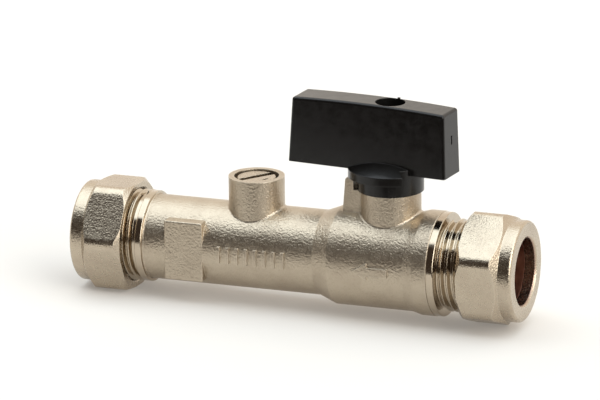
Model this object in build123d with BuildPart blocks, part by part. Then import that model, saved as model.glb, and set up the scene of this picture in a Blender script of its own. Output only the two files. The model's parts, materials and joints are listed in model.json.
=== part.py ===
from build123d import *
import os
from math import cos, radians, sin, sqrt

os.makedirs("parts", exist_ok=True)

# In-line lever ball valve for 15 mm pipe, with two check cartridges and a test plug in its tube.
# Millimetres.  X runs along the pipe towards the inlet, Z is up.  The origin is under the middle
# of the valve, on the surface that it stands on.  Sketches are drawn from the point where the
# stem's axis crosses the pipe's axis, so a distance "along" is measured from the stem.

# ---- Driving dimensions ----
inlet_face = 31.85          # outer face of the inlet nut
outlet_face = -73.75        # outer face of the outlet nut
pipe_hole_radius = 7.6      # takes 15 mm pipe
thread_crest = 10.5
thread_core = 9.55
thread_pitch = 1.5
nut_across_flats = 24.0
nut_corner_round = 3.0      # forged hexagon, with well rounded corners
nut_length = 12.7
inlet_nut_corner = 21.5     # angle of one hexagon corner, from the front towards the top
outlet_nut_corner = 2.7
mouth_setback = 8.85        # from a nut's outer face to the threaded end inside it
socket_depth = 12.5         # from a threaded end to the pipe stop
tube_radius = 9.66
housing_radius = 11.3
adaptor_joint = 12.1        # where the inlet adaptor's flange meets the body
ball_radius = 8.5
port_radius = 5.5
plug_along = -32.17         # test plug's axis
plug_pitch = 1.25
lever_yaw = -5.8            # lever at rest, from the pipe's line; open is 0 and closed is -90
cartridge_radius = 6.75
cartridge_length = 12.4

# ---- Frame ----
stem_x = -(inlet_face + outlet_face) / 2
corner_centre = (nut_across_flats / 2 - nut_corner_round) / cos(radians(30))
pipe_height = corner_centre * sin(radians(inlet_nut_corner + 60)) + nut_corner_round

PIPE = Plane(origin=(stem_x, 0, pipe_height), x_dir=(1, 0, 0), z_dir=(0, -1, 0))
PIPE_AXIS = Axis((stem_x, 0, pipe_height), (1, 0, 0))
STEM = Plane(origin=(stem_x, 0, pipe_height))
STEM_AXIS = Axis((stem_x, 0, pipe_height), (0, 0, 1))
PLUG = Plane(origin=(stem_x + plug_along, 0, pipe_height))
PLUG_SECTION = Plane(origin=PLUG.origin, x_dir=(1, 0, 0), z_dir=(0, -1, 0))
PLUG_AXIS = Axis(PLUG.origin, (0, 0, 1))
LEVER = STEM.rotated((0, 0, lever_yaw))
LEVER_SIDE = Plane(origin=STEM.origin, x_dir=LEVER.x_dir, z_dir=-LEVER.y_dir)
LEVER_END = Plane(origin=STEM.origin, x_dir=LEVER.y_dir, z_dir=LEVER.x_dir)


def downstream(along):
    """Section plane that starts at a place along the pipe and runs down the flow, towards -X."""
    return Plane(origin=(stem_x + along, 0, pipe_height), x_dir=(-1, 0, 0), z_dir=(0, 1, 0))


def upstream(along):
    """Section plane that starts at a place along the pipe and runs up the flow, towards +X."""
    return Plane(origin=(stem_x + along, 0, pipe_height), x_dir=(1, 0, 0), z_dir=(0, -1, 0))


def across(along):
    """Plane across the pipe: its first direction is the front, its second is up, it faces -X."""
    return Plane(origin=(stem_x + along, 0, pipe_height), x_dir=(0, -1, 0), z_dir=(-1, 0, 0))


# ---- Shared outlines ----
def outline(plane, *corners):
    """Closed face through (along, out) corners; a third number rounds that corner."""
    with BuildSketch(plane) as face:
        with BuildLine():
            Polyline(*[corner[:2] for corner in corners], close=True)
        make_face()
        for corner in corners:
            if len(corner) == 3:
                fillet(face.vertices().sort_by_distance(corner[:2])[0], corner[2])
    return face.sketch


def disc(plane, radius, hole=0.0):
    """Round face, or a ring where it has a hole."""
    with BuildSketch(plane) as face:
        Circle(radius)
        if hole:
            Circle(hole, mode=Mode.SUBTRACT)
    return face.sketch


def bar(plane, length, width, angle=0.0, at=(0.0, 0.0)):
    """Rectangle on a plane, turned by an angle."""
    with BuildSketch(plane) as face:
        with Locations(at):
            Rectangle(length, width, rotation=angle)
    return face.sketch


def wire_section(plane, along, radius, wire_radius):
    """Round section of an O-ring, at a radius from the axis."""
    with BuildSketch(plane) as face:
        with Locations((along, radius)):
            Circle(wire_radius)
    return face.sketch


def sector(plane, inner, outer, start, end):
    """Part of a ring between two angles in degrees."""
    with BuildSketch(plane) as face:
        with BuildLine():
            far = CenterArc((0, 0), outer, start, end - start)
            near = CenterArc((0, 0), inner, start, end - start)
            Line(far @ 0, near @ 0)
            Line(far @ 1, near @ 1)
        make_face()
    return face.sketch


def thread_ridge(origin, direction, root, crest, pitch, length):
    """Right-hand thread ridge that stands from a root radius to a crest, outwards or inwards."""
    half_tip = 0.06 * pitch
    half_base = 0.44 * pitch
    bite = 0.1 if crest < root else -0.1
    with BuildPart() as ridge:
        with BuildLine() as path:
            Helix(pitch, length, root, center=origin, direction=direction)
        start = path.line @ 0
        out = (start - Vector(*origin)).normalized()
        with BuildSketch(Plane(origin=start, x_dir=out, z_dir=path.line % 0)):
            with BuildLine():
                Polyline(
                    (bite, -half_base),
                    (bite, half_base),
                    (crest - root, half_tip),
                    (crest - root, -half_tip),
                    close=True,
                )
            make_face()
        sweep(path=path.wire(), is_frenet=True)
    return ridge.part


def save(piece, name):
    """Label a finished piece and write its STEP."""
    piece.label = name
    export_step(piece, f"parts/{name}.step")


# ---- Valve body: one forging, turned, bored and threaded ----
outlet_mouth = outlet_face + mouth_setback
inlet_mouth = inlet_face - mouth_setback
mouth_flare = 8.6           # a mouth's cone takes the olive
mouth_cone_depth = 1.7
outlet_thread_start = outlet_mouth + 0.37
mouth_chamfer = 0.65
collar_start = -58.2        # plain collar behind the outlet thread
collar_end = -56.6
collar_radius = 10.4
end_radius = 11.9
chamber_radius = 8.8        # ball chamber
shoulder = -6.6             # the outlet seat rests here
cartridge_bore = 6.9
downstream_check = -38.2    # upstream faces of the two check cartridges
upstream_check = -7.2
test_bore = 6.2             # chamber under the test plug
adaptor_bore = 10.2
boss_radius = 6.85
boss_top = 16.2
plug_boss_radius = 6.36
plug_boss_top = 16.62
plug_hole_radius = 4.5
plug_seat = 8.6
lug_half_width = 2.9
lug_top = 18.9
lug_inner = -7.9
flange_roof = 10.95         # the stem's flange is held under this face
stem_bore = 3.5
mark_height = 0.45          # how far the cast marks stand out
flats_along = -46.55        # middle of the spanner flats
flats_length = 9.25
flats_width = 13.8
flats_reach = 9.7           # from the pipe's axis to a flat

# Spanner flats: a pad front and back, with softened edges
with BuildPart() as spanner_flats:
    with BuildSketch(PIPE):
        with Locations((flats_along, 0)):
            RectangleRounded(flats_length, flats_width, 0.4)
    extrude(amount=flats_reach, both=True)
    fillet(spanner_flats.faces().filter_by(Axis.Y).edges(), 0.35)

# Cast marks on the front: a flow arrow on the housing and a row of plain ribs on the tube
with BuildPart() as cast_marks:
    with BuildSketch(PIPE):
        with BuildLine():
            Polyline((-5.4, 0), (-2.0, 2.0), (-2.0, 1.0), (2.9, 1.0), (2.9, 0))
            mirror(about=Plane.XZ)
        make_face()
        with Locations((-30.4, 0)):
            with GridLocations(2.2, 0, 8, 1):
                Rectangle(0.8, 3.8)
    extrude(amount=15)
    revolve(
        outline(
            PIPE,
            (-45, 5),
            (-45, tube_radius + mark_height),
            (-15, tube_radius + mark_height),
            (-15, housing_radius + mark_height),
            (5, housing_radius + mark_height),
            (5, 5),
        ),
        axis=PIPE_AXIS,
        mode=Mode.INTERSECT,
    )

with BuildPart() as valve_body:
    revolve(
        outline(
            PIPE,
            (outlet_mouth, 0),
            (outlet_mouth, thread_core - mouth_chamfer),
            (outlet_mouth + mouth_chamfer, thread_core),
            (collar_start, thread_core, 0.3),
            (collar_start, collar_radius, 0.15),
            (collar_end, collar_radius, 0.2),
            (collar_end, tube_radius, 0.4),
            (-15.7, tube_radius, 0.8),
            (-11.6, housing_radius, 0.8),
            (6.5, housing_radius, 0.6),
            (8.7, end_radius, 0.6),
            (adaptor_joint, end_radius, 0.15),
            (adaptor_joint, 0),
        ),
        axis=PIPE_AXIS,
    )
    extrude(disc(STEM, boss_radius), amount=boss_top)
    extrude(disc(PLUG, plug_boss_radius), amount=plug_boss_top)
    fillet(valve_body.edges().filter_by(GeomType.BSPLINE).filter_by_position(Axis.Z, 0, 100), 0.5)
    # Stop lug beside the stem boss
    extrude(
        outline(
            PIPE,
            (-10.8, 8),
            (-10.4, 12),
            (-9.8, lug_top, 0.5),
            (lug_inner, lug_top, 0.3),
            (lug_inner, boss_top),
            (-5, boss_top),
            (-5, 8),
        ),
        amount=lug_half_width,
        both=True,
    )
    add(spanner_flats.part)
    add(cast_marks.part)
    # Outlet thread, chamfered at the mouth
    add(
        thread_ridge(
            (stem_x + outlet_thread_start, 0, pipe_height),
            (1, 0, 0),
            thread_core,
            thread_crest,
            thread_pitch,
            4.0 * thread_pitch,
        )
    )
    revolve(
        outline(
            PIPE,
            (outlet_mouth - 2, mouth_flare),
            (outlet_mouth, mouth_flare),
            (outlet_mouth, thread_core - mouth_chamfer),
            (outlet_mouth + 2, thread_core - mouth_chamfer + 2),
            (outlet_mouth - 2, thread_core - mouth_chamfer + 2),
        ),
        axis=PIPE_AXIS,
        mode=Mode.SUBTRACT,
    )
    # Bores, from the outlet mouth to the adaptor's register
    revolve(
        outline(
            PIPE,
            (outlet_mouth, 0),
            (outlet_mouth, mouth_flare),
            (outlet_mouth + mouth_cone_depth, pipe_hole_radius),
            (outlet_mouth + socket_depth, pipe_hole_radius),
            (outlet_mouth + socket_depth, cartridge_bore),
            (-51.7, cartridge_bore),
            (-51.7, cartridge_bore + 0.5),
            (-50.8, cartridge_bore + 0.5),
            (-50.8, cartridge_bore),
            (downstream_check + 0.1, cartridge_bore),
            (downstream_check + 0.1, test_bore),
            (upstream_check - cartridge_length - 0.1, test_bore),
            (upstream_check - cartridge_length - 0.1, cartridge_bore),
            (shoulder, cartridge_bore),
            (shoulder, chamber_radius),
            (6.0, chamber_radius),
            (6.0, adaptor_bore),
            (adaptor_joint, adaptor_bore),
            (adaptor_joint, 0),
        ),
        axis=PIPE_AXIS,
        mode=Mode.SUBTRACT,
    )
    # Stem bore, with the seat for the stem's flange under it
    revolve(
        outline(
            PIPE,
            (0, 0),
            (5.05, 0),
            (5.05, flange_roof),
            (stem_bore, flange_roof),
            (stem_bore, boss_top - 0.4),
            (stem_bore + 0.4, boss_top),
            (0, boss_top),
        ),
        axis=STEM_AXIS,
        mode=Mode.SUBTRACT,
    )
    # Test plug's hole, open to the bore through a small drilling
    revolve(
        outline(
            PLUG_SECTION,
            (0, 0),
            (2.4, 0),
            (2.4, plug_seat),
            (plug_hole_radius, plug_seat),
            (plug_hole_radius, plug_boss_top - 2.4),
            (plug_hole_radius + 0.6, plug_boss_top - 1.8),
            (plug_hole_radius + 0.6, plug_boss_top),
            (0, plug_boss_top),
        ),
        axis=PLUG_AXIS,
        mode=Mode.SUBTRACT,
    )
save(valve_body.part, "valve_body")

# ---- Inlet adaptor: screwed into the body behind the ball ----
adaptor_inner = 6.6
flange_end = 13.8
adaptor_ring_groove = 9.1
inlet_thread_start = flange_end + 0.97

with BuildPart() as inlet_adaptor:
    revolve(
        outline(
            PIPE,
            (adaptor_inner, port_radius + 0.1),
            (adaptor_inner, adaptor_bore - 0.4),
            (adaptor_inner + 0.3, adaptor_bore - 0.1),
            (10.5, adaptor_bore - 0.1),
            (10.5, adaptor_ring_groove),
            (11.8, adaptor_ring_groove),
            (11.8, adaptor_bore - 0.1),
            (adaptor_joint, adaptor_bore - 0.1),
            (adaptor_joint, end_radius - 0.1, 0.15),
            (flange_end, end_radius - 0.1, 0.25),
            (flange_end, thread_core, 0.3),
            (inlet_mouth - mouth_chamfer, thread_core),
            (inlet_mouth, thread_core - mouth_chamfer),
            (inlet_mouth, mouth_flare),
            (inlet_mouth - mouth_cone_depth, pipe_hole_radius),
            (inlet_mouth - socket_depth, pipe_hole_radius),
            (inlet_mouth - socket_depth, port_radius + 0.1),
        ),
        axis=PIPE_AXIS,
    )
    add(
        thread_ridge(
            (stem_x + inlet_thread_start, 0, pipe_height),
            (1, 0, 0),
            thread_core,
            thread_crest,
            thread_pitch,
            4.5 * thread_pitch,
        )
    )
save(inlet_adaptor.part, "inlet_adaptor")

with BuildPart() as adaptor_seal:
    revolve(wire_section(PIPE, 11.15, 9.65, 0.5), axis=PIPE_AXIS)
save(adaptor_seal.part, "adaptor_seal")

# ---- Ball and its two seats ----
slot_width = 4.0
slot_floor = 6.3
seat_front = 4.3            # from the stem's axis

with BuildPart() as ball:
    with Locations(STEM.origin):
        Sphere(ball_radius)
    extrude(disc(LEVER_END, port_radius), amount=ball_radius, both=True, mode=Mode.SUBTRACT)
    extrude(
        bar(LEVER.offset(slot_floor), slot_width, 2 * ball_radius),
        amount=ball_radius,
        mode=Mode.SUBTRACT,
    )
save(ball.part, "ball")


def ball_seat(plane):
    """PTFE ring on the side of the ball that the plane's first direction points to."""
    hollow = ball_radius + 0.06
    front = seat_front
    back = 6.55
    bore = port_radius + 0.3
    rim = chamber_radius - 0.1
    with BuildPart() as seat:
        with BuildSketch(plane):
            with BuildLine():
                outer_corner = (front, sqrt(hollow**2 - front**2))
                inner_corner = (sqrt(hollow**2 - bore**2), bore)
                RadiusArc(outer_corner, inner_corner, hollow)
                Polyline(inner_corner, (back, bore), (back, rim), (front, rim), outer_corner)
            make_face()
        revolve(axis=PIPE_AXIS)
    return seat.part


save(ball_seat(upstream(0)), "inlet_seat")
save(ball_seat(downstream(0)), "outlet_seat")

# ---- Stem: tang in the ball, flange under the body, two ring grooves, square drive ----
stem_radius = 3.4
stem_flange_radius = 4.9
flange_bottom = 8.85
flange_top = 10.1
stem_top = 23.9
square_bottom = 17.2
drive_square = 4.8
ring_centres = (12.2, 14.4)  # heights of the two O-rings
ring_groove_radius = 2.4
ring_wire = 0.48
tapped_radius = 1.55
tang_reach = 3.95           # the tang turns between the two seats

stem_corners = [(0, flange_bottom), (stem_flange_radius, flange_bottom)]
stem_corners += [(stem_flange_radius, flange_top), (stem_radius, flange_top)]
for height in ring_centres:
    stem_corners += [(stem_radius, height - 0.65), (ring_groove_radius, height - 0.65)]
    stem_corners += [(ring_groove_radius, height + 0.65), (stem_radius, height + 0.65)]
stem_corners += [(stem_radius, stem_top - 0.4), (stem_radius - 0.4, stem_top), (0, stem_top)]

with BuildPart() as stem:
    revolve(outline(PIPE, *stem_corners), axis=STEM_AXIS)
    square_drive = bar(LEVER.offset(square_bottom), drive_square, drive_square)
    extrude(
        disc(LEVER.offset(square_bottom), 2 * stem_radius) - square_drive,
        amount=stem_top,
        mode=Mode.SUBTRACT,
    )
    extrude(
        bar(LEVER.offset(slot_floor + 0.2), slot_width - 0.2, 2 * stem_flange_radius)
        & disc(LEVER.offset(slot_floor + 0.2), tang_reach),
        amount=flange_bottom - slot_floor,
    )
    extrude(disc(STEM.offset(16.5), tapped_radius), amount=stem_top, mode=Mode.SUBTRACT)
save(stem.part, "stem")

with BuildPart() as stem_thrust_washer:
    extrude(disc(STEM.offset(flange_top + 0.03), stem_flange_radius, stem_radius + 0.1), amount=0.78)
save(stem_thrust_washer.part, "stem_thrust_washer")

for name, height in zip(("stem_o_ring_lower", "stem_o_ring_upper"), ring_centres):
    with BuildPart() as stem_o_ring:
        revolve(wire_section(PIPE, 2.92, height, ring_wire), axis=STEM_AXIS)
    save(stem_o_ring.part, name)

# ---- Lever: bar, hub, stop skirt, square socket and screw recess ----
hub_radius = 7.5
hub_bottom = 16.4
skirt_radius = 9.65
skirt_bottom = 19.6
skirt_rim = 21.5
dome_sphere = 21.2          # radius of the hub's domed top
dome_centre = skirt_rim - sqrt(dome_sphere**2 - skirt_radius**2)
bar_bottom = 21.25
bar_left = -23.6
bar_right = 15.2
bar_crown = 36.6            # highest line of the crowned top
pip_radius = 0.35
web_bottom = 24.1
web_top = 26.0
recess_radius = 3.4
screw_hole_radius = 1.75
tab_bottom = 17.3
lug_angle = 22.2            # half the lug's angle, with the tabs' clearance
open_tab = 180 - lug_angle
closed_tab = 180 + lug_angle + 90


def domed_section(radius, bottom):
    """Half section of a disc with the hub's domed top."""
    with BuildSketch(LEVER_SIDE) as face:
        with BuildLine():
            side_top = dome_centre + sqrt(dome_sphere**2 - radius**2)
            dome = RadiusArc((0, dome_centre + dome_sphere), (radius, side_top), dome_sphere)
            Polyline(dome @ 1, (radius, bottom), (0, bottom), dome @ 0)
        make_face()
    return face.sketch


# Skirt: a sector of flange over the lug, with a tab at each end that stops against it
with BuildPart() as stop_skirt:
    revolve(domed_section(skirt_radius, skirt_bottom), axis=STEM_AXIS)
    extrude(
        sector(LEVER.offset(skirt_bottom), 2, 12, open_tab - 12, closed_tab + 18.5),
        amount=6,
        mode=Mode.INTERSECT,
    )
    for tab_start, tab_end in ((open_tab - 12, open_tab), (closed_tab, closed_tab + 10.6)):
        extrude(
            sector(LEVER.offset(tab_bottom), 7, skirt_radius - 0.25, tab_start, tab_end),
            amount=skirt_bottom - tab_bottom + 0.5,
        )

with BuildPart() as lever_handle:
    # Bar: its side outline with a crowned top, cut to a tapered cross-section
    with BuildSketch(LEVER_SIDE):
        with BuildLine():
            top = ThreePointArc(
                (bar_left + 1.0, bar_crown - 0.35),
                (-2, bar_crown),
                (bar_right - 0.35, bar_crown - 0.6),
            )
            Polyline(top @ 1, (bar_right, bar_bottom), (bar_left, bar_bottom), top @ 0)
        make_face()
    extrude(amount=6, both=True)
    extrude(
        outline(LEVER_END, (-4.2, bar_bottom), (4.2, bar_bottom), (3.85, 40), (-3.85, 40)),
        amount=30,
        both=True,
        mode=Mode.INTERSECT,
    )
    fillet(lever_handle.edges().filter_by(lambda edge: edge.bounding_box().size.Z > 12), 0.6)
    fillet(lever_handle.faces().sort_by(Axis.Z)[-1].edges(), 0.7)
    # Gate mark on the inlet-side end
    extrude(
        bar(LEVER_END.offset(bar_right - 0.55), 0.6, 2.0, at=(0, 29.5)),
        amount=2,
        mode=Mode.SUBTRACT,
    )
    # Moulding pip behind the screw recess
    with BuildSketch(LEVER.offset(bar_bottom)):
        with Locations((0.5, 3.5)):
            Circle(pip_radius)
    extrude(amount=bar_crown + 0.15 - bar_bottom)
    revolve(domed_section(hub_radius, hub_bottom), axis=STEM_AXIS)
    add(stop_skirt.part)
    # Socket for the stem, hole for the screw and recess for its head
    extrude(disc(STEM.offset(hub_bottom), stem_radius + 0.2), amount=1.2, mode=Mode.SUBTRACT)
    extrude(
        bar(LEVER.offset(hub_bottom), drive_square + 0.2, drive_square + 0.2),
        amount=web_bottom - hub_bottom,
        mode=Mode.SUBTRACT,
    )
    extrude(disc(STEM.offset(hub_bottom), screw_hole_radius), amount=20, mode=Mode.SUBTRACT)
    extrude(disc(STEM.offset(web_top), recess_radius), amount=20, mode=Mode.SUBTRACT)
save(lever_handle.part, "lever_handle")

with BuildPart() as handle_screw:
    revolve(
        outline(
            PIPE,
            (0, 17.5),
            (tapped_radius - 0.4, 17.5),
            (tapped_radius - 0.1, 17.8),
            (tapped_radius - 0.1, web_top),
            (2.8, web_top, 0.1),
            (2.8, web_top + 2.0, 0.8),
            (0, web_top + 2.0),
        ),
        axis=STEM_AXIS,
    )
    # Cross recess
    for angle in (0, 90):
        extrude(
            bar(LEVER.offset(web_top + 0.7), 3.0, 0.7, angle=angle),
            amount=3,
            mode=Mode.SUBTRACT,
        )
save(handle_screw.part, "handle_screw")

# ---- Compression nuts and olives, one at each end ----
nut_wall = thread_crest + 0.15
nut_turned_radius = corner_centre + nut_corner_round + 0.5
nut_thread_root = 4.3       # from the nut's outer face to the start of its thread's relief
olive_length = 5.5


def compression_nut(section, corner_angle, first_end, ridge_start):
    """Hexagon nut with a round collar.  Its section plane starts at its outer face."""
    with BuildPart() as nut:
        with BuildSketch(across(first_end)) as hexagon:
            RegularPolygon(nut_across_flats / 2, 6, major_radius=False, rotation=corner_angle)
            fillet(hexagon.vertices(), nut_corner_round)
        extrude(amount=-nut_length)
        revolve(
            outline(
                section,
                (0, 8.1),
                (0, 11.5, 0.75),
                (3.05, 11.5),
                (5.0, nut_turned_radius),
                (11.0, nut_turned_radius),
                (nut_length, 12.2),
                (nut_length, nut_wall + 0.25),
                (nut_length - 0.2, nut_wall),
                (nut_thread_root, nut_wall),
                (nut_thread_root, 9.6),
                (2.6, pipe_hole_radius + 0.05),
                (0.45, pipe_hole_radius + 0.05),
            ),
            axis=PIPE_AXIS,
            mode=Mode.INTERSECT,
        )
        add(
            thread_ridge(
                (stem_x + ridge_start, 0, pipe_height),
                (1, 0, 0),
                nut_wall,
                thread_core + 0.25,
                thread_pitch,
                4 * thread_pitch,
            )
        )
    return nut.part


def olive(section):
    """Compression ring, tapered at both ends, that the nut squeezes onto the pipe."""
    start = 2.85
    with BuildPart() as ring:
        revolve(
            outline(
                section,
                (start, pipe_hole_radius),
                (start, pipe_hole_radius + 0.15),
                (start + 1.4, 8.75, 0.4),
                (start + 3.8, 8.75, 0.4),
                (start + olive_length, pipe_hole_radius + 0.25),
                (start + olive_length, pipe_hole_radius),
            ),
            axis=PIPE_AXIS,
        )
    return ring.part


# Each nut's ridge lies half a pitch from the ridge that it runs on.
inlet_ridge = inlet_thread_start + 3.5 * thread_pitch
outlet_ridge = outlet_thread_start - 2.5 * thread_pitch
inlet_nut = compression_nut(
    downstream(inlet_face), inlet_nut_corner, inlet_face - nut_length, inlet_ridge
)
outlet_nut = compression_nut(upstream(outlet_face), outlet_nut_corner, outlet_face, outlet_ridge)
save(inlet_nut, "inlet_nut")
save(outlet_nut, "outlet_nut")
save(olive(downstream(inlet_face)), "inlet_olive")
save(olive(upstream(outlet_face)), "outlet_olive")

# ---- Test plug and its seal ----
plug_bottom = 9.7
plug_top = 16.35
plug_head_radius = 4.4
plug_core = 4.05
slot_angle = 53

with BuildPart() as test_plug:
    revolve(
        outline(
            PLUG_SECTION,
            (0, plug_bottom),
            (plug_core - 0.3, plug_bottom),
            (plug_core, plug_bottom + 0.3),
            (plug_core, 14.9),
            (plug_head_radius, 15.1),
            (plug_head_radius, plug_top, 0.25),
            (0, plug_top),
        ),
        axis=PLUG_AXIS,
    )
    add(
        thread_ridge(
            (PLUG.origin.X, PLUG.origin.Y, pipe_height + plug_bottom + 0.7),
            (0, 0, 1),
            plug_core,
            plug_head_radius,
            plug_pitch,
            3 * plug_pitch,
        )
    )
    extrude(
        bar(PLUG.offset(plug_top - 1.6), 12, 1.7, angle=slot_angle),
        amount=3,
        mode=Mode.SUBTRACT,
    )
    # Index mark beside the slot
    extrude(
        bar(PLUG.offset(plug_top - 0.5), 1.6, 0.7, angle=slot_angle, at=(2.6, -1.5)),
        amount=3,
        mode=Mode.SUBTRACT,
    )
save(test_plug.part, "test_plug")

with BuildPart() as test_plug_seal:
    extrude(disc(PLUG.offset(plug_seat + 0.05), plug_core, 2.5), amount=1.0)
save(test_plug_seal.part, "test_plug_seal")

# ---- Check cartridges: each is a housing with a sprung poppet, held by a guide ----
poppet_stem = 1.2
poppet_back = 4.5
guide_face = 10.4
spring_turns = 5
spring_wire = 0.3


def save_check(place, along):
    """Write the six pieces of one cartridge whose upstream face is at a place along the pipe."""
    section = downstream(along)

    with BuildPart() as housing:
        revolve(
            outline(
                section,
                (0, 5.2),
                (0, cartridge_radius - 0.35),
                (0.4, cartridge_radius),
                (1.2, cartridge_radius),
                (1.2, 5.7),
                (2.5, 5.7),
                (2.5, cartridge_radius),
                (cartridge_length - 0.3, cartridge_radius),
                (cartridge_length, cartridge_radius - 0.3),
                (cartridge_length, 5.3),
                (3.5, 5.3),
                (2.2, 3.7),
                (1.2, 3.7),
            ),
            axis=PIPE_AXIS,
        )
    save(housing.part, f"{place}_check_housing")

    with BuildPart() as o_ring:
        revolve(wire_section(section, 1.85, 6.28, 0.5), axis=PIPE_AXIS)
    save(o_ring.part, f"{place}_check_o_ring")

    with BuildPart() as poppet:
        revolve(
            outline(
                section,
                (2.3, 0),
                (2.3, 3.2, 0.2),
                (2.8, 3.2),
                (2.8, 3.5),
                (3.75, 3.5),
                (3.75, 4.6),
                (poppet_back, 4.6, 0.3),
                (poppet_back, poppet_stem, 0.1),
                (11.2, poppet_stem, 0.4),
                (11.2, 0),
            ),
            axis=PIPE_AXIS,
        )
    save(poppet.part, f"{place}_check_poppet")

    with BuildPart() as poppet_seal:
        revolve(wire_section(section, 3.25, 4.0, 0.42), axis=PIPE_AXIS)
    save(poppet_seal.part, f"{place}_check_seal")

    with BuildPart() as guide:
        guide_plane = across(along - guide_face)
        extrude(disc(guide_plane, 5.2, 4.4), amount=1.5)
        extrude(disc(guide_plane, 2.3), amount=1.5)
        for spoke_angle in (0, 60, 120):
            extrude(bar(guide_plane, 9.6, 1.1, angle=spoke_angle), amount=1.5)
        extrude(disc(guide_plane, poppet_stem + 0.1), amount=1.5, mode=Mode.SUBTRACT)
    save(guide.part, f"{place}_check_guide")

    coil_length = guide_face - poppet_back - 2 * spring_wire - 0.1
    with BuildPart() as spring:
        with BuildLine() as coil:
            Helix(
                coil_length / spring_turns,
                coil_length,
                2.6,
                center=(stem_x + along - poppet_back - spring_wire - 0.05, 0, pipe_height),
                direction=(-1, 0, 0),
            )
        with BuildSketch(Plane(origin=coil.line @ 0, z_dir=coil.line % 0)):
            Circle(spring_wire)
        sweep(path=coil.wire(), is_frenet=True)
    save(spring.part, f"{place}_check_spring")


save_check("upstream", upstream_check)
save_check("downstream", downstream_check)

# Split ring behind the downstream cartridge
with BuildPart() as check_retaining_ring:
    extrude(sector(across(-50.85), 6.2, 7.3, 25, 335), amount=0.8)
save(check_retaining_ring.part, "check_retaining_ring")
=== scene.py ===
import json
from math import cos, radians, sin

import bmesh
import bpy
from mathutils import Matrix, Vector


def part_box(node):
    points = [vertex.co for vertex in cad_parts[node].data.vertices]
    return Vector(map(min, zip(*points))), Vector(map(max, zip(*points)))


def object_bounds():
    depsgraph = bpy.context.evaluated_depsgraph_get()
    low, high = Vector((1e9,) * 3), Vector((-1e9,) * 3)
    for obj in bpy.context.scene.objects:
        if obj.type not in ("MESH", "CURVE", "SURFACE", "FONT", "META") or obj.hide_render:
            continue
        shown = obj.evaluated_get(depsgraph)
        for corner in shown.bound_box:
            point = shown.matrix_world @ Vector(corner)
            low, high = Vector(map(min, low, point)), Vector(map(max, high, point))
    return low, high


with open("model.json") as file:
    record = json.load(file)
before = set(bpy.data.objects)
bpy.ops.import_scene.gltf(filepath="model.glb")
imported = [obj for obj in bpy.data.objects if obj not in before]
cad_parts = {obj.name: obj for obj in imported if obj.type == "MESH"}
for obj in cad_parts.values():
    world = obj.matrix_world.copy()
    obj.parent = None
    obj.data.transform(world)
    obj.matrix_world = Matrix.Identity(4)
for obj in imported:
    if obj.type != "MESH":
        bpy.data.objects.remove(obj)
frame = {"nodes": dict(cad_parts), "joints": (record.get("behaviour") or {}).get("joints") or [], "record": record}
cad_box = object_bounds()

# ---- Places taken from the frame, in metres ----
MM = 0.001
centre = (cad_box[0] + cad_box[1]) / 2
joints = {joint["name"]: joint for joint in frame["joints"]}
stem = Vector(joints["lever_turn"]["pos_m"])  # where the stem crosses the pipe's axis

# ---- Camera: a long lens, from the inlet side, looking down a little ----
CAMERA_AZIMUTH = radians(20.483)
CAMERA_ELEVATION = radians(16.65)
CAMERA_ROLL = radians(-0.682)
CAMERA_DISTANCE = 1.3569
CAMERA_LENS = 361.9
CAMERA_AIM = centre + Vector((0.49, -3.54, 1.11)) * MM


def make_camera():
    """The view that the pictures are made from."""
    right = Vector((cos(CAMERA_AZIMUTH), sin(CAMERA_AZIMUTH), 0))
    away = Vector((
        -sin(CAMERA_AZIMUTH) * cos(CAMERA_ELEVATION),
        cos(CAMERA_AZIMUTH) * cos(CAMERA_ELEVATION),
        -sin(CAMERA_ELEVATION),
    ))
    up = right.cross(away)
    rolled_right = cos(CAMERA_ROLL) * right + sin(CAMERA_ROLL) * up
    rolled_up = cos(CAMERA_ROLL) * up - sin(CAMERA_ROLL) * right
    camera = bpy.data.objects.new("camera", bpy.data.cameras.new("camera"))
    bpy.context.scene.collection.objects.link(camera)
    camera.data.lens = CAMERA_LENS
    camera.data.sensor_width = 36
    camera.data.clip_start = 0.1
    camera.data.clip_end = 50
    turn = Matrix((rolled_right, rolled_up, -away)).transposed().to_4x4()
    camera.matrix_world = Matrix.Translation(CAMERA_AIM - CAMERA_DISTANCE * away) @ turn
    bpy.context.scene.camera = camera


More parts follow.
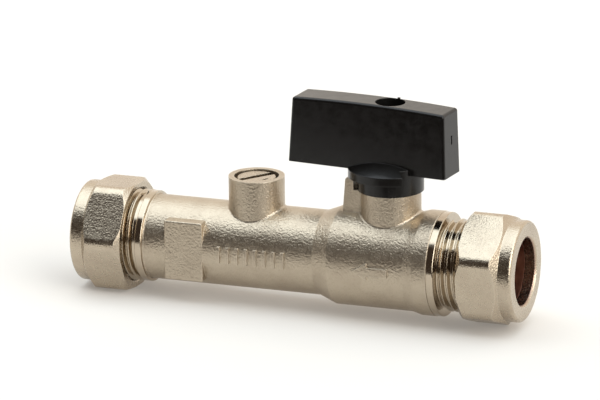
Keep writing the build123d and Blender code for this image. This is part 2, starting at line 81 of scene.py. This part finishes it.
# ---- A short way to write node trees ----
class Graph:
    """Node tree of a material or a world."""

    def __init__(self, owner):
        owner.use_nodes = True
        self.tree = owner.node_tree
        self.tree.nodes.clear()

    def add(self, kind, inputs=None, **settings):
        """A node with settings; inputs maps a socket's name or number to a value or an output."""
        node = self.tree.nodes.new(kind)
        for name, value in settings.items():
            setattr(node, name, value)
        for key, value in (inputs or {}).items():
            self.put(value, node.inputs[key])
        return node

    def put(self, value, socket):
        """Links an output to a socket, or sets the socket's own value."""
        if isinstance(value, bpy.types.NodeSocket):
            self.tree.links.new(value, socket)
        else:
            socket.default_value = value

    def math(self, operation, *values, clamp=False):
        """Result of one sum."""
        node = self.add("ShaderNodeMath", operation=operation, use_clamp=clamp)
        for socket, value in zip(node.inputs, values):
            self.put(value, socket)
        return node.outputs[0]

    def ramp(self, value, low, high, to_low=0.0, to_high=1.0):
        """Smooth step from one value to another."""
        node = self.add(
            "ShaderNodeMapRange",
            {
                "Value": value,
                "From Min": low,
                "From Max": high,
                "To Min": to_low,
                "To Max": to_high,
            },
            interpolation_type="SMOOTHSTEP",
        )
        return node.outputs["Result"]

    def mix(self, factor, first, second, blend="MIX"):
        """Colour mix."""
        node = self.add("ShaderNodeMix", data_type="RGBA", blend_type=blend)
        self.put(factor, node.inputs[0])
        self.put(first, node.inputs[6])
        self.put(second, node.inputs[7])
        return node.outputs[2]

    def weighted(self, first, share, second):
        """Sum of two values, of which the first has a share and the second the rest."""
        return self.math(
            "ADD",
            self.math("MULTIPLY", first, share),
            self.math("MULTIPLY", second, 1 - share),
        )

    def noise(self, place, scale, detail=2.0, rough=0.5):
        """Cloud noise from 0 to 1, with a scale in features per millimetre."""
        node = self.add(
            "ShaderNodeTexNoise",
            {"Vector": place, "Scale": scale, "Detail": detail, "Roughness": rough},
        )
        return node.outputs["Fac"]


def place_in_mm(graph, origin):
    """The piece's own coordinates in millimetres, from an origin in metres."""
    coordinates = graph.add("ShaderNodeTexCoord").outputs["Object"]
    scale = 1 / MM
    node = graph.add(
        "ShaderNodeMapping",
        {"Vector": coordinates, "Location": -origin * scale, "Scale": (scale, scale, scale)},
    )
    return node.outputs["Vector"]


def edge_mask(graph, radius):
    """1 on the rounded-over edges of a piece and 0 on its faces."""
    bevel = graph.add("ShaderNodeBevel", {"Radius": radius}, samples=6).outputs["Normal"]
    normal = graph.add("ShaderNodeNewGeometry").outputs["Normal"]
    dot = graph.add("ShaderNodeVectorMath", {0: bevel, 1: normal}, operation="DOT_PRODUCT")
    return graph.ramp(dot.outputs["Value"], 0.995, 0.86)


def finish_material(graph, color, rough, height, depth, edge_radius, **sockets):
    """Principled surface with softened edges and a bump.

    A height of 1 stands depth metres above a height of 0.
    """
    soft = graph.add("ShaderNodeBevel", {"Radius": edge_radius}, samples=6).outputs["Normal"]
    bump = graph.add(
        "ShaderNodeBump",
        {"Height": height, "Distance": depth, "Strength": 1.0, "Normal": soft},
    )
    inputs = {"Base Color": color, "Roughness": rough, "Normal": bump.outputs["Normal"]}
    inputs.update({name.replace("_", " "): value for name, value in sockets.items()})
    shader = graph.add("ShaderNodeBsdfPrincipled", inputs)
    graph.add("ShaderNodeOutputMaterial", {"Surface": shader.outputs[0]})


def new_material(name):
    """A material and the graph of its nodes."""
    material = bpy.data.materials.new(name)
    return material, Graph(material)


# ---- Materials ----
NICKEL = (0.49, 0.42, 0.325, 1)
NICKEL_WORN = (0.56, 0.49, 0.39, 1)
NICKEL_DULL = (0.44, 0.37, 0.285, 1)
NICKEL_PIT = (0.34, 0.28, 0.21, 1)
TARNISHED = (0.38, 0.27, 0.21, 1)
PIT_SHARE = 0.75              # how much of the blasted grain is pits, the rest being grit
GRIT_FINENESS = 2.3           # grit's scale over the pits' scale
TOOL_MARK_HEIGHT = 0.03       # lathe rings, as a share of the grain's depth
TURNED_ROUGHNESS = 0.17       # at its roughest, where a lathe cut the surface


def nickel(name, turned, bore, roughest=0.40, depth=0.16 * MM, scale=2.1):
    """Satin nickel plating over a blasted forging.

    turned(graph, x, radius) is 1 where a lathe cut the surface.  bore is the radius in millimetres
    inside which the plating thins out to tarnished brass.  depth and scale are those of the grain.
    """
    material, graph = new_material(name)
    place = place_in_mm(graph, stem)
    parts = graph.add("ShaderNodeSeparateXYZ", {"Vector": place}).outputs
    y_squared = graph.math("POWER", parts["Y"], 2.0)
    z_squared = graph.math("POWER", parts["Z"], 2.0)
    radius = graph.math("SQRT", graph.math("ADD", y_squared, z_squared))
    # Blasted grain: pits of half a millimetre or less, with finer grit between them
    pits = graph.noise(place, scale, 1.0, 0.5)
    grit = graph.noise(place, GRIT_FINENESS * scale, 1.0, 0.5)
    grain = graph.weighted(pits, PIT_SHARE, grit)
    rings = graph.add(
        "ShaderNodeTexWave",
        {"Vector": place, "Scale": 1.6, "Distortion": 0.4, "Detail": 1.0, "Detail Scale": 2.0},
        wave_type="BANDS",
        bands_direction="X",
    ).outputs["Fac"]
    smooth = turned(graph, parts["X"], radius)
    height = graph.mix(smooth, grain, graph.math("MULTIPLY", rings, TOOL_MARK_HEIGHT))
    # Colour: clouds of duller plating, pits a little darker, edges rubbed bright
    clouds = graph.noise(place, 0.16, 3.0, 0.6)
    color = graph.mix(graph.ramp(clouds, 0.35, 0.7), NICKEL, NICKEL_DULL)
    color = graph.mix(graph.ramp(grain, 0.45, 0.3, 0.0, 0.3), color, NICKEL_PIT)
    color = graph.mix(edge_mask(graph, 0.5 * MM), color, NICKEL_WORN)
    color = graph.mix(graph.ramp(radius, bore + 0.1, bore - 0.1), color, TARNISHED)
    rough = graph.ramp(graph.noise(place, 0.9, 3.0, 0.6), 0.3, 0.7, roughest - 0.07, roughest)
    less_rough = graph.math("MULTIPLY", smooth, roughest - TURNED_ROUGHNESS)
    rough = graph.math("SUBTRACT", rough, less_rough)
    finish_material(graph, color, rough, height, depth, 0.18 * MM, Metallic=1.0)
    return material


# ---- Where a lathe cut the nickel-plated pieces, in millimetres ----
COLLAR_REACH = 4.6            # from the outlet nut's inner end to the end of the collar behind it
LARGEST_BORE = 8.9            # a little more than the radius of the ball's chamber


def forged(graph, x, radius):
    """Blasted all over."""
    return 0.0


def outlet_end(graph, x, radius):
    """Thread and collar at the body's outlet end, and bores up to the ball's chamber."""
    collar = (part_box("outlet_nut")[1].x - stem.x) / MM + COLLAR_REACH
    end = graph.ramp(x, collar - 0.1, collar + 0.1, 1.0, 0.0)
    bore = graph.ramp(radius, LARGEST_BORE, LARGEST_BORE + 0.2, 1.0, 0.0)
    return graph.math("MAXIMUM", end, bore)


def whole_turned(graph, x, radius):
    """Turned all over."""
    return 1.0


def plain_metal(name, color, dark, rough, grain, depth, scale):
    """Bare or plated metal with a fine grain, stretched by three numbers along X, Y and Z."""
    material, graph = new_material(name)
    place = place_in_mm(graph, stem)
    clouds = graph.noise(place, 0.35, 3.0, 0.6)
    tint = graph.mix(graph.ramp(clouds, 0.35, 0.7), color, dark)
    tint = graph.mix(edge_mask(graph, 0.25 * MM), tint, color)
    roughness = graph.ramp(graph.noise(place, 1.4, 3.0, 0.6), 0.3, 0.7, rough - 0.05, rough + 0.07)
    stretched = graph.add("ShaderNodeMapping", {"Vector": place, "Scale": grain}).outputs[0]
    fine = graph.add("ShaderNodeTexNoise", {"Vector": stretched, "Scale": scale}).outputs["Fac"]
    finish_material(graph, tint, roughness, fine, depth, 0.08 * MM, Metallic=1.0)
    return material


TEXTURE_SHARE = 0.25          # how much of a moulded surface's relief is texture, not waves
EDGE_WEAR = 0.35              # least share of the worn colour on a moulded piece's edges


def moulded(name, color, worn, rough, depth, **sockets):
    """Moulded plastic or rubber: fine texture, slow waves and gloss changes, rubbed edges."""
    material, graph = new_material(name)
    place = place_in_mm(graph, stem)
    texture = graph.noise(place, 5.0, 2.0, 0.6)
    waves = graph.noise(place, 0.12, 2.0, 0.5)
    height = graph.weighted(texture, TEXTURE_SHARE, waves)
    scuffs = graph.ramp(graph.noise(place, 0.7, 4.0, 0.7), 0.55, 0.75, 0.0, 0.35)
    wear = graph.math("ADD", scuffs, EDGE_WEAR)
    rub = graph.math("MULTIPLY", edge_mask(graph, 0.5 * MM), wear, clamp=True)
    tint = graph.mix(rub, color, worn)
    roughness = graph.ramp(graph.noise(place, 0.5, 4.0, 0.65), 0.3, 0.7, rough - 0.05, rough + 0.06)
    finish_material(graph, tint, roughness, height, depth, 0.2 * MM, **sockets)
    return material


def floor_material():
    """Pale matt top of a light table, which glows a little."""
    material, graph = new_material("floor")
    place = place_in_mm(graph, Vector())
    color = graph.mix(graph.noise(place, 0.02, 2.0), (0.53, 0.51, 0.485, 1), (0.51, 0.49, 0.465, 1))
    finish_material(
        graph,
        color,
        0.9,
        graph.noise(place, 2.0),
        0.004 * MM,
        0.1 * MM,
        Specular_IOR_Level=0.2,
        Emission_Color=(1.0, 0.95, 0.88, 1),
        Emission_Strength=0.2,
    )
    return material


def paint(node, material):
    """Gives a CAD node its material."""
    slots = frame["nodes"][node].material_slots
    for slot in slots:
        slot.material = material
    if not slots:
        frame["nodes"][node].data.materials.append(material)


# Each metal: colour, darker colour, roughness, grain stretch, grain depth in millimetres and scale
METALS = {
    "turned_brass": ((0.72, 0.50, 0.22, 1), (0.62, 0.42, 0.18, 1), 0.22, (1, 1, 8), 0.006, 1.2),
    "copper": ((0.37, 0.18, 0.13, 1), (0.26, 0.12, 0.09, 1), 0.33, (6, 1, 1), 0.006, 1.5),
    "chromed_ball": ((0.62, 0.62, 0.63, 1), (0.58, 0.58, 0.59, 1), 0.1, (1, 1, 1), 0.001, 2.0),
    "spring_steel": ((0.50, 0.49, 0.47, 1), (0.40, 0.39, 0.37, 1), 0.28, (1, 1, 1), 0.004, 3.0),
    "zinc_steel": ((0.52, 0.52, 0.50, 1), (0.42, 0.42, 0.41, 1), 0.3, (1, 1, 1), 0.006, 2.5),
}
# Each plastic or rubber: colour, worn colour, roughness, relief in millimetres and other sockets
MOULDINGS = {
    "ptfe": ((0.80, 0.80, 0.77, 1), (0.70, 0.70, 0.67, 1), 0.45, 0.01, {"Subsurface_Weight": 0.1}),
    "nitrile": ((0.012, 0.012, 0.012, 1), (0.03, 0.03, 0.03, 1), 0.5, 0.01, {}),
    "acetal": ((0.72, 0.72, 0.69, 1), (0.62, 0.62, 0.60, 1), 0.35, 0.01, {}),
    "lever_plastic": (
        (0.006, 0.0055, 0.005, 1), (0.014, 0.013, 0.012, 1), 0.20, 0.006, {"IOR": 1.38}
    ),
}
NUT_BORE = 7.85               # radii in millimetres inside which the plating is tarnished
PIPE_BORE = 8.0


def paint_everything():
    """A procedural material for every node."""
    by_slot = {
        "nickel_plating": nickel(
            "nickel_nut", forged, NUT_BORE, roughest=0.29, depth=0.09 * MM, scale=2.6
        ),
    }
    for slot, (color, dark, rough, grain, depth, scale) in METALS.items():
        by_slot[slot] = plain_metal(slot, color, dark, rough, grain, depth * MM, scale)
    for slot, (color, worn, rough, depth, sockets) in MOULDINGS.items():
        by_slot[slot] = moulded(slot, color, worn, rough, depth * MM, **sockets)
    for entry in frame["record"]["subparts"]:
        paint(entry["node"], by_slot[entry["material_slot"]])
    paint("valve_body", nickel("nickel_body", outlet_end, PIPE_BORE))
    paint("inlet_adaptor", nickel("nickel_turned", whole_turned, PIPE_BORE))


# ---- Floor and light ----
TABLE_FRONT = 98 * MM         # how far the table reaches towards the viewer from the middle
TABLE_HALF_WIDTH = 6.0        # metres
CORNER_START = 4.35 * MM      # from a nut's outer face to about where its hexagon's corners start
# Overhead box: where it fades in or out.  A slope is a distance sideways over the height.
BOX_FRONT = (-0.67, -0.53)    # slope towards the viewer
BOX_BACK = (0.75, 0.50)       # slope away from the viewer
BOX_SIDES = (1.6, 1.2)        # slope to either side
LOWEST_HEIGHT = 0.02          # keeps the slopes finite at the horizon
BOX_LIGHT = (2.3, 2.5, 2.65, 1)
ROOM_FADE = (-0.3, 0.35)      # from the dark room in front to the white wall behind
ROOM_LIGHT = (0.07, 0.054, 0.044, 1)
WALL_LIGHT = (1.22, 1.12, 1.00, 1)
LAMP_DIRECTION = (0.80, -0.40, 0.45)
LAMP_FADE = (0.86, 0.96)      # cosine of the angle from the lamp's middle
LAMP_LIGHT = (4.6, 4.5, 4.3, 1)
BACKDROP = (1.0, 1.0, 1.0, 1)


def make_floor():
    """A wide pale table that both nuts rest on, so it leans a little from one nut to the other."""
    inlet_corner, outlet_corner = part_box("inlet_nut")[0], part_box("outlet_nut")[0]
    near = Vector((inlet_corner.x, 0, inlet_corner.z))
    far = Vector((outlet_corner.x + CORNER_START, 0, outlet_corner.z))
    slope = (far.z - near.z) / (far.x - near.x)
    mesh = bpy.data.meshes.new("floor")
    sheet = bmesh.new()
    bmesh.ops.create_grid(sheet, x_segments=8, y_segments=8, size=TABLE_HALF_WIDTH)
    squared_up = Matrix.Rotation(CAMERA_AZIMUTH, 3, "Z")
    for vertex in sheet.verts:
        vertex.co.y += TABLE_HALF_WIDTH - TABLE_FRONT
        vertex.co = squared_up @ vertex.co
        vertex.co.z = near.z + slope * (vertex.co.x - near.x)
    sheet.to_mesh(mesh)
    sheet.free()
    floor = bpy.data.objects.new("floor", mesh)
    bpy.context.scene.collection.objects.link(floor)
    mesh.materials.append(floor_material())


def make_light():
    """Box overhead, lamp at the right, white wall behind and dark room in front."""
    world = bpy.data.worlds.new("studio")
    bpy.context.scene.world = world
    graph = Graph(world)
    direction = graph.add("ShaderNodeTexCoord").outputs["Generated"]
    x, y, z = graph.add("ShaderNodeSeparateXYZ", {"Vector": direction}).outputs
    height = graph.math("MAXIMUM", z, LOWEST_HEIGHT)
    depth_slope = graph.math("DIVIDE", y, height)
    side_slope = graph.math("ABSOLUTE", graph.math("DIVIDE", x, height))
    behind_front = graph.ramp(depth_slope, *BOX_FRONT)
    before_back = graph.ramp(depth_slope, *BOX_BACK)
    box = graph.math("MULTIPLY", behind_front, before_back)
    box = graph.math("MULTIPLY", box, graph.ramp(side_slope, *BOX_SIDES))
    room = graph.mix(graph.ramp(y, *ROOM_FADE), ROOM_LIGHT, WALL_LIGHT)
    light = graph.mix(box, room, BOX_LIGHT)
    lamp = Vector(LAMP_DIRECTION).normalized()
    toward = graph.add("ShaderNodeVectorMath", {0: direction, 1: lamp}, operation="DOT_PRODUCT")
    light = graph.mix(graph.ramp(toward.outputs["Value"], *LAMP_FADE), light, LAMP_LIGHT)
    seen = graph.add("ShaderNodeLightPath").outputs["Is Camera Ray"]
    light = graph.mix(seen, light, BACKDROP)
    background = graph.add("ShaderNodeBackground", {"Color": light, "Strength": 1.0})
    graph.add("ShaderNodeOutputWorld", {"Surface": background.outputs[0]})
    settings = bpy.context.scene.view_settings
    settings.view_transform = "Standard"
    settings.look = "None"


make_camera()
paint_everything()
make_floor()
make_light()
